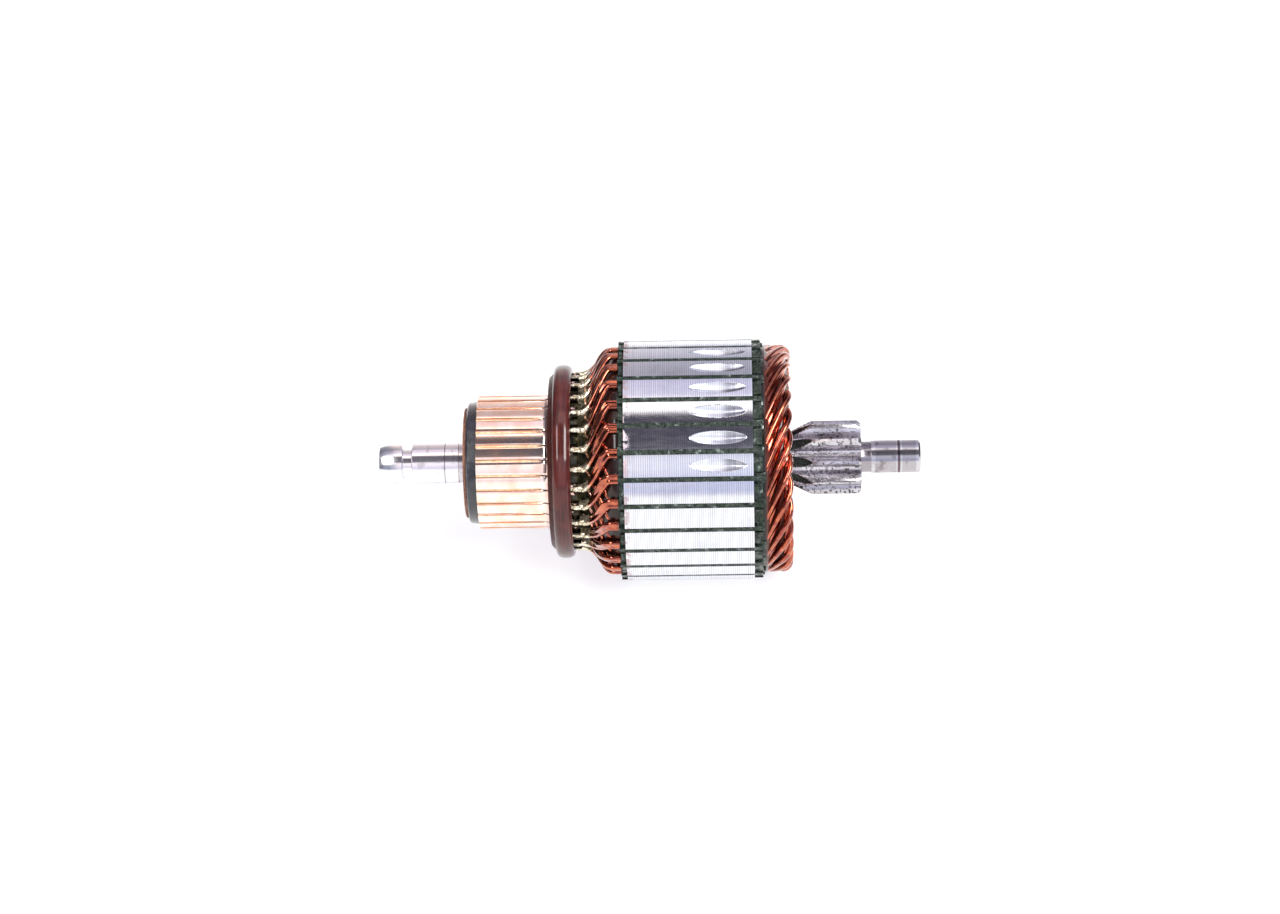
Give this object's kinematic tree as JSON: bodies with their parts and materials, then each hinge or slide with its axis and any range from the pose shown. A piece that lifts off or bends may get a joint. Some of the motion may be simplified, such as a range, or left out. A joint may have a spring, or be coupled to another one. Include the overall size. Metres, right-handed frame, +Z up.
{
  "type": "motor armature",
  "caption": "Wound motor armature with a slotted steel core, copper commutator, enamelled copper coils and a shaft with a journal at each end and an integral pinion.",
  "frame": {"origin": "on the shaft's axis, in the middle of the journal at the commutator end", "axes": "+X along the shaft from the commutator end towards the pinion, +Z up with the armature lying on its core, a slot straight down"},
  "size_m": [0.1264, 0.056, 0.056],
  "materials": {
    "turned_steel": "turned and ground, stained, pinion pitted with rust",
    "core_steel": "turned edges of stacked sheets",
    "green_fibre": "dark green insulating fibre, varnished",
    "commutator_copper": "turned bright copper",
    "mica": "undercut mica",
    "black_moulding": "glossy black moulding",
    "brown_fibre": "brown laminated fibre with a rough edge",
    "brown_resin": "glossy brown resin over glass thread",
    "enamelled_copper": "round copper wire under glossy amber enamel"
  },
  "bodies": {
    "root": {"shaft": "turned_steel", "lamination_stack": "core_steel", "commutator_end_insulator": "green_fibre", "drive_end_insulator": "green_fibre", "slot_liners": "green_fibre", "commutator_bars": "commutator_copper", "mica_segments": "mica", "commutator_hub": "black_moulding", "front_washer": "brown_fibre", "riser_band": "brown_resin", "coil_01": "enamelled_copper", "coil_02": "enamelled_copper", "coil_03": "enamelled_copper", "coil_04": "enamelled_copper", "coil_05": "enamelled_copper", "coil_06": "enamelled_copper", "coil_07": "enamelled_copper", "coil_08": "enamelled_copper", "coil_09": "enamelled_copper", "coil_10": "enamelled_copper", "coil_11": "enamelled_copper", "coil_12": "enamelled_copper", "coil_13": "enamelled_copper", "coil_14": "enamelled_copper", "coil_15": "enamelled_copper", "coil_16": "enamelled_copper", "coil_17": "enamelled_copper", "coil_18": "enamelled_copper", "coil_19": "enamelled_copper", "coil_20": "enamelled_copper", "coil_21": "enamelled_copper", "coil_22": "enamelled_copper", "coil_23": "enamelled_copper", "coil_24": "enamelled_copper", "coil_25": "enamelled_copper", "coil_26": "enamelled_copper", "coil_27": "enamelled_copper", "coil_28": "enamelled_copper"}
  },
  "joints": []
}
